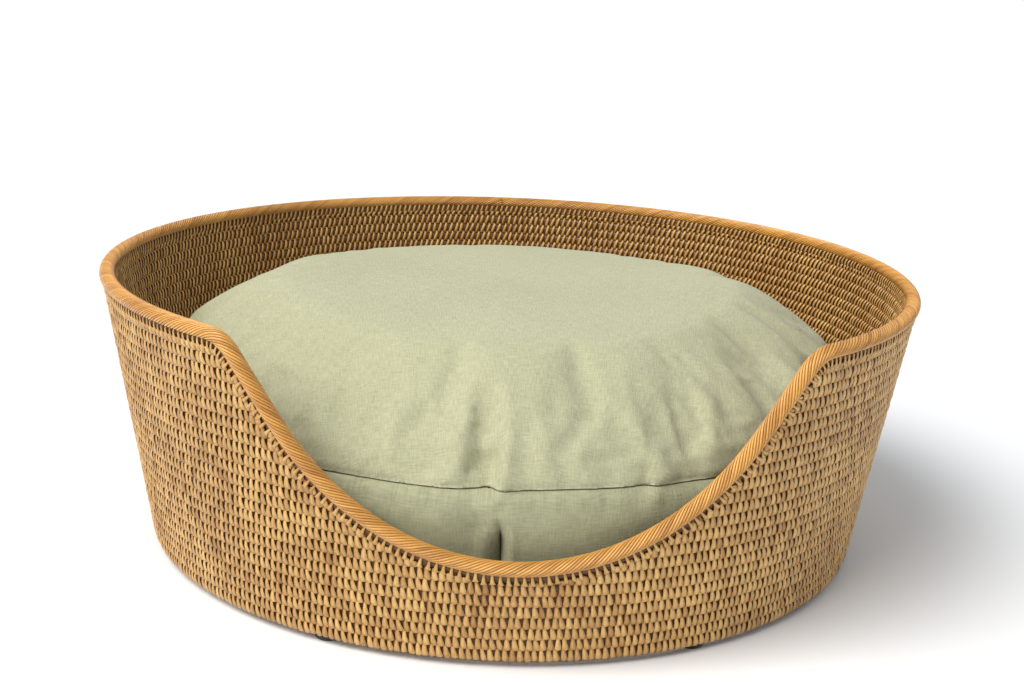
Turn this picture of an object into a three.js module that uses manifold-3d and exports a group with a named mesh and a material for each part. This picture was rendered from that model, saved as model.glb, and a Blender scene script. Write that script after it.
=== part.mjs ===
// Wicker pet bed basket: a round coiled-rattan basket with a scooped-out entrance at the front,
// a cane-wrapped rim, six rubber feet and a loose, puffy cushion with a zipped cover.
//
// Millimetres, +Z up. The origin is on the ground, below the middle of the overall box. The
// entrance faces -Y. Angles round the basket are measured from the middle of the entrance.

import * as THREE from 'three';
import { mergeVertices } from 'three/addons/utils/BufferGeometryUtils.js';
import Module from 'manifold-3d';

const wasm = await Module();
wasm.setup();

// ---------------------------------------------------------------- driving dimensions

const GAP = 0.3;                     // clearance left between touching pieces
const RIM_GAP = 0.6;                 // clearance between the rim and the cut ends of the courses

const RIM_RADIUS = 315;              // centre of the rim cane, at the top of the wall
const BASE_RADIUS = 281;             // middle of the wall's thickness, at its bottom edge
const WALL_HEIGHT = 205;             // bottom edge of the wall to the centre of the rim cane
const FOOT_STAND = 5.5;              // ground to the underside of the wicker

const COURSE_COUNT = 24;             // turns of cane from the bottom edge to the rim
const COURSE_WIDTH = 8;              // a lashed course, through the wall

const RIM_DIAMETER = 10;             // over the wrapping
const RIM_CORE_DIAMETER = 7;         // bare pole inside the wrapping
const RIM_JOINT = 0.6;               // butt joint between the rim pole's ends, at the back

const SCOOP_LOW = 68;                // wall's bottom edge to the rim at the lowest point of the scoop
const SCOOP_ARC_RADIUS = 194;        // round bottom of the scoop, in the flattened-out wall
const SCOOP_SLOPE = 56;              // steepness of the scoop's straight sides, in degrees
const KNEE_RADIUS = 24;              // bend where the scoop's sides turn into the level rim

const FLOOR_THICKNESS = 7;           // coiled floor
const HOOP_DIAMETER = 10;            // rattan hoop that stiffens the edge of the floor

const FOOT_DIAMETER = 19;
const FOOT_CHAMFER = 2.2;            // slope round the foot's ground edge
const FOOT_SPREAD = 27;              // front and back feet, each side of the middle line, degrees
const SCREW_SHANK_DIAMETER = 3.4;
const SCREW_HEAD_DIAMETER = 7.2;
const SCREW_HEAD_HEIGHT = 1.8;
const SCREW_HEAD_FLAT = 4.3;         // flat middle of the domed head
const SCREW_BITE = 6;                // how far a foot screw reaches into the hoop
const FOOT_WEB = 2;                  // rubber between the screw head and the floor

const CUSHION_CLEARANCE = 6.5;       // between the cushion's side and the inside of the wall
const HOOP_CLEARANCE = 1;            // between the cushion's bottom corner and the hoop
const CUSHION_BAND_HEIGHT = 110;     // cushion's underside to the seam of its top panel
const CUSHION_CROWN = 80;            // seam to the highest point of the cushion
const SEAM_PINCH = 3;                // how far the seam pulls the cushion's side in
const CUSHION_CORNER = 40;           // rounding of the cushion's bottom edge
const COVER_THICKNESS = 1.5;

const ZIP_LENGTH = 330;              // along the cushion's side, at the back
const ZIP_BELOW_SEAM = 26;           // seam to the middle of the zip
const ZIP_TAPE_WIDTH = 24;
const ZIP_TAPE_THICKNESS = 0.8;
const ZIP_CHAIN_WIDTH = 5;
const ZIP_CHAIN_THICKNESS = 1.6;
const ZIP_STOP_LENGTH = 4;
const SLIDER_LENGTH = 11;
const SLIDER_WIDTH = 9;
const SLIDER_WALL = 1.6;
const PULL_LENGTH = 20;
const PULL_WIDTH = 5;
const PULL_THICKNESS = 1.4;
const PULL_STUD_DIAMETER = 1.6;      // stud on the slider that the pull hangs from

const ROUND_STEPS = 36;              // facets round the basket and the cushion

// ---------------------------------------------------------------- materials

const finish = (color, roughness, metalness = 0) =>
  new THREE.MeshStandardMaterial({ color, roughness, metalness });

const WICKER = finish(0xc89a5b, 0.6);
const RIM_WRAP = finish(0xc98a3c, 0.45);
const POLE = finish(0xb98a4f, 0.7);
const RUBBER = finish(0x232427, 0.8);
const STEEL = finish(0x9a9c9e, 0.35, 1);
const LINEN = finish(0xb4b592, 0.95);
const LINING = finish(0xe8e4d8, 0.95);
const ZIP_FABRIC = finish(0x8f9476, 0.9);
const ZIP_PLASTIC = finish(0x7f8468, 0.5);
const ZIP_METAL = finish(0xb9a77c, 0.35, 1);

const basket = new THREE.Group();    // centred on the basket's own axis

function addPart(name, geometry, material) {
  const mesh = new THREE.Mesh(geometry, material);
  mesh.name = name;
  basket.add(mesh);
  return mesh;
}

// ---------------------------------------------------------------- shared geometry

const radians = THREE.MathUtils.degToRad;

// Middle of the wall's thickness at a height above the wall's bottom edge.
function wallRadius(height) {
  return BASE_RADIUS + ((RIM_RADIUS - BASE_RADIUS) * height) / WALL_HEIGHT;
}

// Inside of the wall at a height above the ground, on the flats of its facets.
function wallInside(z) {
  const flats = Math.cos(Math.PI / ROUND_STEPS);
  return (wallRadius(z - FOOT_STAND) - COURSE_WIDTH / 2) * flats;
}

// The entrance is drawn on the flattened-out wall: x runs along the wall and y is the height.
const FLAT_WALL_RADIUS = (RIM_RADIUS + BASE_RADIUS) / 2;

function aroundBasket(angle, radius, z) {
  return new THREE.Vector3(radius * Math.sin(angle), -radius * Math.cos(angle), z);
}

function ringProfile(points) {
  return [...points, points[0]].map(([r, z]) => new THREE.Vector2(r, z));
}

// A solid of revolution from a closed list of [radius, z] points, listed anticlockwise.
function ring(points, steps = ROUND_STEPS) {
  return turnedRound(new THREE.LatheGeometry(ringProfile(points), steps));
}

// A solid of revolution from a list of [radius, z] points that starts and ends on the axis.
function turned(points, steps = ROUND_STEPS) {
  const profile = points.map(([r, z]) => new THREE.Vector2(r, z));
  return turnedRound(new THREE.LatheGeometry(profile, steps));
}

// LatheGeometry turns about Y: this stands it up on Z.
function turnedRound(geometry) {
  return geometry.rotateX(Math.PI / 2);
}

// A curved bar standing on its edge: part of a ring between two radii, centred on an angle.
function arcBar(innerRadius, outerRadius, middleAngle, length, z, height, facetAngle = 3) {
  const half = length / (innerRadius + outerRadius);
  const middle = middleAngle - Math.PI / 2;
  const facets = Math.max(1, Math.ceil((2 * half) / radians(facetAngle)));
  const outline = new THREE.Shape();
  outline.absarc(0, 0, outerRadius, middle - half, middle + half, false);
  outline.absarc(0, 0, innerRadius, middle + half, middle - half, true);
  const bar = new THREE.ExtrudeGeometry(outline, {
    depth: height, bevelEnabled: false, steps: 1, curveSegments: facets,
  });
  return bar.translate(0, 0, z);
}

function toSolid(geometry) {
  const bare = geometry.clone();
  bare.deleteAttribute('normal');
  bare.deleteAttribute('uv');
  const merged = mergeVertices(bare, 1e-4);
  return new wasm.Manifold(new wasm.Mesh({
    numProp: 3,
    vertProperties: new Float32Array(merged.attributes.position.array),
    triVerts: new Uint32Array(merged.index.array),
  }));
}

function toGeometry(solid) {
  const mesh = solid.getMesh();
  const geometry = new THREE.BufferGeometry();
  geometry.setAttribute('position', new THREE.BufferAttribute(mesh.vertProperties, 3));
  geometry.setIndex(new THREE.BufferAttribute(mesh.triVerts, 1));
  return geometry;
}

function cutFrom(geometry, cutters) {
  let solid = toSolid(geometry);
  for (const cutter of cutters) {
    solid = solid.subtract(toSolid(cutter));
  }
  return toGeometry(solid);
}

function joined(geometryA, geometryB) {
  return toGeometry(toSolid(geometryA).add(toSolid(geometryB)));
}

// ---------------------------------------------------------------- the scooped entrance

// Half of the entrance's outline on the flattened wall, from its lowest point to the level rim.
// offset moves it down and outwards, into the wicker.
function scoopOutline(offset = 0) {
  const slope = radians(SCOOP_SLOPE);
  const arcCentreY = SCOOP_LOW + SCOOP_ARC_RADIUS;
  const arcRadius = SCOOP_ARC_RADIUS + offset;
  const kneeRadius = KNEE_RADIUS - offset;
  const arcTopY = arcCentreY - SCOOP_ARC_RADIUS * Math.cos(slope);
  const arcTopX = SCOOP_ARC_RADIUS * Math.sin(slope);
  const kneeFootY = WALL_HEIGHT - KNEE_RADIUS * (1 - Math.cos(slope));
  const kneeFootX = arcTopX + (kneeFootY - arcTopY) / Math.tan(slope);
  const kneeCentreX = kneeFootX + KNEE_RADIUS * Math.sin(slope);
  const kneeCentreY = WALL_HEIGHT - KNEE_RADIUS;
  const up = Math.PI / 2;
  const bottom = new THREE.Path().absarc(0, arcCentreY, arcRadius, -up, -up + slope, false);
  const knee = new THREE.Path()
    .absarc(kneeCentreX, kneeCentreY, kneeRadius, up + slope, up, true);
  return [...bottom.getPoints(7), ...knee.getPoints(3)];
}

// Cuts the entrance out of the courses, down to the underside of the rim.
function entranceCutter() {
  const half = scoopOutline(RIM_DIAMETER / 2 + RIM_GAP);
  const top = new THREE.Vector2(half.at(-1).x, WALL_HEIGHT + RIM_DIAMETER * 2);
  const right = [...half, top];
  const left = right.slice(1).reverse().map((p) => new THREE.Vector2(-p.x, p.y));
  const innerRadius = BASE_RADIUS / 2;
  const outerRadius = RIM_RADIUS * 2;
  const depth = outerRadius - innerRadius;
  const cutter = new THREE.ExtrudeGeometry(new THREE.Shape([...right, ...left]), {
    depth, bevelEnabled: false, steps: Math.ceil(depth / (3 * COURSE_WIDTH)),
  });
  const position = cutter.attributes.position;
  for (let i = 0; i < position.count; i += 1) {
    const angle = position.getX(i) / FLAT_WALL_RADIUS;
    const radius = innerRadius + position.getZ(i);
    const point = aroundBasket(angle, radius, FOOT_STAND + position.getY(i));
    position.setXYZ(i, point.x, point.y, point.z);
  }
  return cutter;
}

// ---------------------------------------------------------------- wall

const RIM_CLEAR = RIM_DIAMETER / 2 + RIM_GAP + GAP;
const COURSE_PITCH = (WALL_HEIGHT - RIM_CLEAR + GAP) / COURSE_COUNT;

// One turn of cane with its lashing: a flat-sided ring that leans out with the wall.
function course(index) {
  const low = index * COURSE_PITCH;
  const high = low + COURSE_PITCH - GAP;
  const half = COURSE_WIDTH / 2;
  return ring([
    [wallRadius(low) - half, FOOT_STAND + low],
    [wallRadius(low) + half, FOOT_STAND + low],
    [wallRadius(high) + half, FOOT_STAND + high],
    [wallRadius(high) - half, FOOT_STAND + high],
  ]);
}

function buildWall() {
  const cutter = entranceCutter();
  for (let index = 0; index < COURSE_COUNT; index += 1) {
    const number = String(index + 1).padStart(2, '0');
    addPart(`wall_course_${number}`, cutFrom(course(index), [cutter]), WICKER);
  }
}

// ---------------------------------------------------------------- rim

// A path whose stations are the listed points themselves, so that they lie closer at the knees.
class StationCurve extends THREE.CatmullRomCurve3 {
  getPointAt(u, target) {
    return this.getPoint(u, target);
  }

  getTangentAt(u, target) {
    return this.getTangent(u, target);
  }
}

// The rim's centre line: from the butt joint at the back, round one side, down through the
// scoop and back round the other side.
function rimStations() {
  const levelSteps = 15;             // facets of each side's level run
  const half = scoopOutline().map((p) => ({ angle: p.x / FLAT_WALL_RADIUS, height: p.y }));
  const kneeAngle = half.at(-1).angle;
  const endAngle = Math.PI - RIM_JOINT / 2 / RIM_RADIUS;
  for (let step = 1; step <= levelSteps; step += 1) {
    const angle = kneeAngle + ((endAngle - kneeAngle) * step) / levelSteps;
    half.push({ angle, height: WALL_HEIGHT });
  }
  const otherHalf = half.slice(1).reverse().map((p) => ({ angle: -p.angle, height: p.height }));
  return [...otherHalf, ...half].map((p) =>
    aroundBasket(p.angle, wallRadius(p.height), FOOT_STAND + p.height));
}

function circleShape(diameter, sides) {
  const points = [];
  for (let side = 0; side < sides; side += 1) {
    const angle = (side / sides) * 2 * Math.PI;
    points.push(new THREE.Vector2(Math.cos(angle), Math.sin(angle)).multiplyScalar(diameter / 2));
  }
  return new THREE.Shape(points);
}

function alongRim(section) {
  const stations = rimStations();
  return new THREE.ExtrudeGeometry(section, {
    steps: stations.length - 1,
    bevelEnabled: false,
    extrudePath: new StationCurve(stations, false, 'centripetal'),
  });
}

function buildRim() {
  addPart('rim_core_pole', alongRim(circleShape(RIM_CORE_DIAMETER, 6)), POLE);
  const wrapping = circleShape(RIM_DIAMETER, 8);
  wrapping.holes.push(circleShape(RIM_CORE_DIAMETER + 3 * GAP, 6));
  addPart('rim_cane_wrapping', alongRim(wrapping), RIM_WRAP);
}

// ---------------------------------------------------------------- floor, hoop and feet

const FLOOR_TOP = FOOT_STAND + FLOOR_THICKNESS;
const HOOP_LOW = FLOOR_TOP + GAP;
const HOOP_RADIUS = wallInside(FLOOR_TOP) - GAP - HOOP_DIAMETER / 2;
const FOOT_TOP = FOOT_STAND - GAP;
const SCREW_TIP = HOOP_LOW + SCREW_BITE;

const FOOT_PLACES = [
  ['front_right', FOOT_SPREAD],
  ['side_right', 90],
  ['back_right', 180 - FOOT_SPREAD],
  ['back_left', 180 + FOOT_SPREAD],
  ['side_left', 270],
  ['front_left', 360 - FOOT_SPREAD],
];

// A foot screw's hole, from the ground up to a height.
function screwHole(angle, height) {
  const radius = SCREW_SHANK_DIAMETER / 2 + GAP;
  const hole = new THREE.CylinderGeometry(radius, radius, height, 8).rotateX(Math.PI / 2);
  const place = aroundBasket(angle, HOOP_RADIUS, height / 2);
  return hole.translate(place.x, place.y, place.z);
}

function buildFloor() {
  const edge = wallInside(FOOT_STAND) - GAP;
  const disc = turned([[0, FOOT_STAND], [edge, FOOT_STAND], [edge - GAP, FLOOR_TOP], [0, FLOOR_TOP]]);
  const holes = FOOT_PLACES.map(([, angle]) => screwHole(radians(angle), HOOP_LOW));
  addPart('floor_coil', cutFrom(disc, holes), WICKER);
}

function buildHoop() {
  const sides = 6;
  const section = [];
  for (let side = 0; side < sides; side += 1) {
    const angle = ((side + 0.5) / sides) * 2 * Math.PI;
    const reach = HOOP_DIAMETER / 2;
    section.push([
      HOOP_RADIUS + reach * Math.sin(-angle), HOOP_LOW + reach + reach * Math.cos(angle),
    ]);
  }
  const holes = FOOT_PLACES.map(([, angle]) => screwHole(radians(angle), SCREW_TIP + GAP));
  addPart('base_hoop', cutFrom(ring(section), holes), POLE);
}

function footGeometry() {
  const bore = SCREW_SHANK_DIAMETER / 2 + GAP;
  const recess = SCREW_HEAD_DIAMETER / 2 + 2 * GAP;
  const outside = FOOT_DIAMETER / 2;
  const recessTop = FOOT_TOP - FOOT_WEB;
  return ring([
    [bore, recessTop], [recess, recessTop], [recess, 0], [outside - FOOT_CHAMFER, 0],
    [outside, FOOT_CHAMFER], [outside, FOOT_TOP], [bore, FOOT_TOP],
  ], 12);
}

function screwGeometry() {
  const headTop = FOOT_TOP - FOOT_WEB - GAP;
  const shank = SCREW_SHANK_DIAMETER / 2;
  const head = SCREW_HEAD_DIAMETER / 2;
  const flat = SCREW_HEAD_FLAT / 2;
  return turned([
    [0, headTop - SCREW_HEAD_HEIGHT], [flat, headTop - SCREW_HEAD_HEIGHT],
    [head, headTop], [shank, headTop], [shank, SCREW_TIP - 2 * shank], [0, SCREW_TIP],
  ], 8);
}

function buildFeet() {
  for (const [place, angle] of FOOT_PLACES) {
    const spot = aroundBasket(radians(angle), HOOP_RADIUS, 0);
    addPart(`foot_${place}`, footGeometry(), RUBBER).position.copy(spot);
    addPart(`foot_screw_${place}`, screwGeometry(), STEEL).position.copy(spot);
  }
}

// ---------------------------------------------------------------- cushion

const CUSHION_LOW = FLOOR_TOP + GAP;
const SEAM_Z = CUSHION_LOW + CUSHION_BAND_HEIGHT;
const CORNER_REACH = CUSHION_CORNER
  * (1 - Math.sqrt(1 - (1 - HOOP_DIAMETER / CUSHION_CORNER) ** 2));
const CUSHION_RADIUS = Math.min(
  wallInside(CUSHION_LOW + CUSHION_CORNER) - CUSHION_CLEARANCE,
  wallInside(SEAM_Z) - CUSHION_CLEARANCE,
  HOOP_RADIUS - HOOP_DIAMETER / 2 + CORNER_REACH - HOOP_CLEARANCE,
);

// The cushion's outline, from the middle of its underside to its crown, pulled in by inset.
function cushionSide(inset) {
  const cornerX = CUSHION_RADIUS - CUSHION_CORNER;
  const corner = new THREE.Path()
    .absarc(cornerX, CUSHION_LOW + CUSHION_CORNER, CUSHION_CORNER - inset, -Math.PI / 2, 0, false)
    .getPoints(3)
    .map((p) => [p.x, p.y]);
  const pinchStart = SEAM_Z - ZIP_BELOW_SEAM + ZIP_TAPE_WIDTH / 2 + GAP;
  return [
    ...corner,
    [CUSHION_RADIUS - inset, pinchStart],
    [CUSHION_RADIUS - SEAM_PINCH - inset, SEAM_Z - GAP / 2],
  ];
}

// Full at the sides and nearly level over the middle, from the seam up to the crown.
function cushionDome(inset) {
  const edge = CUSHION_RADIUS - SEAM_PINCH - inset;
  const crown = CUSHION_CROWN - inset;
  const stations = [1, 0.97, 0.88, 0.72, 0.45, 0];
  const dome = (u) => crown * (1 - u ** 2.2) ** 0.6;
  return stations.map((u) => [edge * u, SEAM_Z + GAP / 2 + dome(u)]);
}

function buildCushion() {
  const t = COVER_THICKNESS;
  const bottomEdge = CUSHION_RADIUS - CUSHION_CORNER - GAP;
  addPart('cushion_cover_bottom', turned([
    [0, CUSHION_LOW], [bottomEdge, CUSHION_LOW], [bottomEdge, CUSHION_LOW + t],
    [0, CUSHION_LOW + t],
  ]), LINEN);
  addPart('cushion_cover_band', ring([...cushionSide(0), ...cushionSide(t).reverse()]), LINEN);
  addPart('cushion_cover_top', turned([
    ...cushionDome(t).reverse(), ...cushionDome(0),
  ]), LINEN);
  const inner = t + 2 * GAP;
  addPart('cushion_inner_pad', turned([
    [0, CUSHION_LOW + inner], ...cushionSide(inner), ...cushionDome(inner).slice(1),
  ]), LINING);
}

// ---------------------------------------------------------------- zip at the back of the cushion

const ZIP_Z = SEAM_Z - ZIP_BELOW_SEAM;
const TAPE_INSIDE = CUSHION_RADIUS + GAP;
const CHAIN_INSIDE = TAPE_INSIDE + ZIP_TAPE_THICKNESS + GAP;
const CHAIN_OUTSIDE = CHAIN_INSIDE + ZIP_CHAIN_THICKNESS;
const SLIDER_OUTSIDE = CHAIN_OUTSIDE + GAP + SLIDER_WALL;
const PULL_INSIDE = SLIDER_OUTSIDE + GAP;
const ZIP_HALF_ANGLE = ZIP_LENGTH / 2 / CHAIN_INSIDE;
const SLIDER_ANGLE = Math.PI - ZIP_HALF_ANGLE
  + (SLIDER_LENGTH / 2 + ZIP_STOP_LENGTH) / CHAIN_INSIDE;

function buildZip() {
  const chainLow = ZIP_Z - ZIP_CHAIN_WIDTH / 2;
  addPart('zip_tape', arcBar(TAPE_INSIDE, TAPE_INSIDE + ZIP_TAPE_THICKNESS, Math.PI,
    ZIP_LENGTH + 2 * ZIP_STOP_LENGTH, ZIP_Z - ZIP_TAPE_WIDTH / 2, ZIP_TAPE_WIDTH), ZIP_FABRIC);
  addPart('zip_chain', arcBar(CHAIN_INSIDE, CHAIN_OUTSIDE, Math.PI,
    ZIP_LENGTH, chainLow, ZIP_CHAIN_WIDTH), ZIP_PLASTIC);
  const stopAngle = (ZIP_LENGTH + ZIP_STOP_LENGTH + 2 * GAP) / 2 / CHAIN_INSIDE;
  for (const [side, turn] of [['right', -stopAngle], ['left', stopAngle]]) {
    addPart(`zip_stop_${side}`, arcBar(CHAIN_INSIDE, CHAIN_OUTSIDE, Math.PI + turn,
      ZIP_STOP_LENGTH, chainLow, ZIP_CHAIN_WIDTH), ZIP_METAL);
  }
}

function buildSlider() {
  const sliderLow = ZIP_Z - SLIDER_WIDTH / 2;
  const body = arcBar(CHAIN_INSIDE, SLIDER_OUTSIDE, SLIDER_ANGLE,
    SLIDER_LENGTH, sliderLow, SLIDER_WIDTH);
  const groove = arcBar(CHAIN_INSIDE - 1, CHAIN_OUTSIDE + GAP, SLIDER_ANGLE,
    SLIDER_LENGTH * 2, ZIP_Z - ZIP_CHAIN_WIDTH / 2 - GAP, ZIP_CHAIN_WIDTH + 2 * GAP);
  const studRadius = PULL_STUD_DIAMETER / 2;
  const studLength = SLIDER_WALL / 2 + PULL_THICKNESS + GAP;
  const stud = new THREE.CylinderGeometry(studRadius, studRadius, studLength, 8)
    .translate(0, studLength / 2, 0);
  stud.rotateZ(SLIDER_ANGLE);
  const studEnd = aroundBasket(SLIDER_ANGLE, SLIDER_OUTSIDE + PULL_THICKNESS, ZIP_Z);
  stud.translate(studEnd.x, studEnd.y, studEnd.z);
  addPart('zip_slider', joined(cutFrom(body, [groove]), stud), ZIP_METAL);

  const tab = new THREE.Shape();
  const half = PULL_WIDTH / 2;
  tab.moveTo(-half, 0).lineTo(-half, -PULL_LENGTH + half);
  tab.absarc(0, -PULL_LENGTH + half, half, Math.PI, 2 * Math.PI, false);
  tab.lineTo(half, 0).absarc(0, 0, half, 0, Math.PI, false);
  tab.holes.push(circleShape(PULL_STUD_DIAMETER + 2 * GAP, 8));
  const pull = new THREE.ExtrudeGeometry(tab, {
    depth: PULL_THICKNESS, bevelEnabled: false, steps: 1, curveSegments: 6,
  });
  pull.rotateX(Math.PI / 2);
  const hanging = addPart('zip_pull', pull, ZIP_METAL);
  hanging.position.copy(aroundBasket(SLIDER_ANGLE, PULL_INSIDE + PULL_THICKNESS, ZIP_Z));
  hanging.rotation.z = SLIDER_ANGLE;
}

buildWall();
buildRim();
buildFloor();
buildHoop();
buildFeet();
buildCushion();
buildZip();
buildSlider();

// The back of the rim stands further out than the front of the scoop: the origin goes midway.
basket.position.y = -(RIM_RADIUS - wallRadius(SCOOP_LOW)) / 2;

export default basket;
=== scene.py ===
import math

import bpy
import numpy as np
from mathutils import Matrix, Vector


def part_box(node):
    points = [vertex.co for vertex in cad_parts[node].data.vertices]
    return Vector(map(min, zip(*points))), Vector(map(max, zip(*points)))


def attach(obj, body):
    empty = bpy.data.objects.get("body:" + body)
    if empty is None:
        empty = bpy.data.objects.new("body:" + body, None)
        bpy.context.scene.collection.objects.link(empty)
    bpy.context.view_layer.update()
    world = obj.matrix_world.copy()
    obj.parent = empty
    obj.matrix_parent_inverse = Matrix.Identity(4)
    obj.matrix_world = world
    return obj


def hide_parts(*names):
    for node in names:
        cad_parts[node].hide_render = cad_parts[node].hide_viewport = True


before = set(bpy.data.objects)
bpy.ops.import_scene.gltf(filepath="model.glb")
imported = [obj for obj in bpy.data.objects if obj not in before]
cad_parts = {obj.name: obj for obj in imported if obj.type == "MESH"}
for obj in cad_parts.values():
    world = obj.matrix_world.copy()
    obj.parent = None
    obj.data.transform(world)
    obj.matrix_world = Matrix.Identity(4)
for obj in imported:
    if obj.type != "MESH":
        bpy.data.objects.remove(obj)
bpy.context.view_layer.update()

# -------- coiled floor
# A round mat wound from one long rattan core, each turn lashed to the turn inside it with split
# cane. It fills the bottom of the wall and carries the cushion, the hoop and the feet.

floor_low, floor_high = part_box("floor_coil")
axis = Vector(((floor_low.x + floor_high.x) / 2, (floor_low.y + floor_high.y) / 2, 0))
floor_radius = (floor_high.x - floor_low.x) / 2
floor_thickness = floor_high.z - floor_low.z
turn_width = 0.008
floor_stitch = 0.0074
handmade = np.random.default_rng(24)


def take_up(piece):
    """Leaves only this piece selected and active, out of edit mode."""
    if bpy.context.object and bpy.context.object.mode != "OBJECT":
        bpy.ops.object.mode_set(mode="OBJECT")
    bpy.ops.object.select_all(action="DESELECT")
    piece.select_set(True)
    bpy.context.view_layer.objects.active = piece


def points_of(piece, kind="co"):
    """Where the points of the piece are, or which way they face."""
    at = np.empty(len(piece.data.vertices) * 3, np.float32)
    piece.data.vertices.foreach_get(kind, at)
    return at.reshape(-1, 3).astype(float)


def move_points(piece, at):
    piece.data.vertices.foreach_set("co", np.ascontiguousarray(at, np.float32).ravel())
    piece.data.update()


def pick(piece, chosen=None):
    """Opens the piece in edit mode with the points selected where chosen(x, y, z) holds, or with
    all of them selected."""
    take_up(piece)
    mesh = piece.data
    picked = chosen(*points_of(piece).T) if chosen else np.ones(len(mesh.vertices), bool)
    mesh.polygons.foreach_set("select", np.zeros(len(mesh.polygons), bool))
    mesh.edges.foreach_set("select", np.zeros(len(mesh.edges), bool))
    mesh.vertices.foreach_set("select", np.asarray(picked, bool))
    bpy.ops.object.mode_set(mode="EDIT")
    bpy.ops.mesh.select_mode(type="VERT")


def settle(piece):
    """Closes edit mode and puts the piece's place, turn and size into its mesh."""
    take_up(piece)
    bpy.ops.object.transform_apply(location=True, rotation=True, scale=True)


def added():
    """The piece that was just added, settled."""
    piece = bpy.context.object
    settle(piece)
    return piece


def resize(piece, value, chosen=None, centre=(0, 0, 0)):
    """Scales the chosen points, or all of them, about a centre."""
    pick(piece, chosen)
    bpy.ops.transform.resize(value=value, center_override=centre)


def modify(piece, kind, **settings):
    """Adds a modifier with these settings and applies it."""
    take_up(piece)
    modifier = piece.modifiers.new(kind.title(), kind)
    for name, value in settings.items():
        setattr(modifier, name, value)
    bpy.ops.object.modifier_apply(modifier=modifier.name)


def repeat(piece, count, step, **settings):
    """Lays the piece in a row, each one a step on from the last."""
    modify(piece, "ARRAY", count=count, use_relative_offset=False, use_constant_offset=True,
           constant_offset_displace=step, **settings)


def bend_along(piece, line):
    modify(piece, "CURVE", object=line, deform_axis="POS_X")


def close_ends(piece):
    """Caps every open end."""
    pick(piece)
    bpy.ops.mesh.select_all(action="DESELECT")
    bpy.ops.mesh.select_non_manifold()
    bpy.ops.mesh.fill_holes(sides=0)
    take_up(piece)


def smooth(piece, angle=None):
    """Shades the piece as one soft surface, or keeps the edges sharper than an angle."""
    take_up(piece)
    if angle:
        bpy.ops.object.shade_smooth_by_angle(angle=angle)
    else:
        bpy.ops.object.shade_smooth()


def duplicate(piece, name):
    """A copy of the piece with a mesh of its own."""
    copy = bpy.data.objects.new(name, piece.data.copy())
    copy.data.name = name
    bpy.context.scene.collection.objects.link(copy)
    return copy


def discard(*pieces):
    for piece in pieces:
        bpy.data.objects.remove(piece)


def guide(name, places, tilts=None, closed=False):
    """A hidden line of straight steps that a row of stitches is bent along."""
    line = bpy.data.curves.new(name, "CURVE")
    line.dimensions = "3D"
    line.twist_mode = "Z_UP"
    run = line.splines.new("POLY")
    run.points.add(len(places) - 1)
    for index, place in enumerate(places):
        run.points[index].co = (*place, 1)
        if tilts is not None:
            run.points[index].tilt = tilts[index]
    run.use_cyclic_u = closed
    hidden = bpy.data.objects.new(name, line)
    bpy.context.scene.collection.objects.link(hidden)
    return hidden


def finish_piece(piece, name, material, body="basket", nodes=()):
    piece.name = piece.data.name = name
    piece.data.materials.clear()
    piece.data.materials.append(material)
    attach(piece, body)
    if nodes:
        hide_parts(*nodes)


def note_on_points(piece, name, values):
    """Writes one number, or one for each point of the piece, for its material to read."""
    values = np.broadcast_to(values, len(piece.data.vertices)).astype(np.float32)
    piece.data.attributes.new(name, "FLOAT", "POINT").data.foreach_set("value", values)


def lay_spiral():
    """The coil's line, and one turn more that leans outwards by half a core while it tapers off."""
    turns = (floor_radius - turn_width / 2) / turn_width
    spiral = []
    for step in range(6, int((turns + 1) * 72)):
        turn = step / 72
        reach = min(turn, turns + max(0, turn - turns) / 2) * turn_width
        spiral.append(axis + Vector((
            reach * math.sin(turn * 2 * math.pi), -reach * math.cos(turn * 2 * math.pi), 0,
        )))
    return spiral


spiral = lay_spiral()
spiral_length = sum((b - a).length for a, b in zip(spiral, spiral[1:]))
bpy.ops.mesh.primitive_cylinder_add(
    vertices=7, radius=floor_thickness / 2, depth=floor_stitch, end_fill_type="NOTHING",
    rotation=(0, math.pi / 2, 0),
)
floor = added()
for cut in (-0.2, 0.2):
    pick(floor)
    bpy.ops.mesh.bisect(plane_co=(cut * floor_stitch, 0, 0), plane_no=(1, 0, 0))
resize(floor, (1, turn_width / floor_thickness, 1))
bpy.ops.transform.rotate(value=0.4, orient_axis="Z", center_override=(0, 0, 0))
resize(floor, (1, 0.86, 0.84), lambda x, y, z: abs(x - 0.4 * y) > floor_stitch * 0.35)
floor_stitches = int(spiral_length / floor_stitch)
repeat(floor, floor_stitches, (floor_stitch, 0, 0), use_merge_vertices=True,
       merge_threshold=0.0003)
at = points_of(floor)
taper = 1 - 0.9 * np.clip((at[:, 0] - spiral_length) / (2 * math.pi * floor_radius) + 1, 0, 1)
at[:, 1:] *= taper[:, None]
move_points(floor, at)
rib = np.floor(at[:, 0] / floor_stitch).astype(int).clip(0, floor_stitches)
note_on_points(floor, "tone", handmade.random(floor_stitches + 1)[rib])
# The floor mat gets a light inner note: partly a darker inside finish, partly painted shade of the
# basket's bottom.
note_on_points(floor, "inner", 0.35)
spiral_line = guide("floor_line", spiral)
bend_along(floor, spiral_line)
pick(floor)
bpy.ops.transform.translate(value=(0, 0, (floor_low.z + floor_high.z) / 2))
bpy.ops.mesh.select_all(action="DESELECT")
bpy.ops.mesh.select_non_manifold()
bpy.ops.mesh.edge_face_add()
smooth(floor)
discard(spiral_line)


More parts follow.
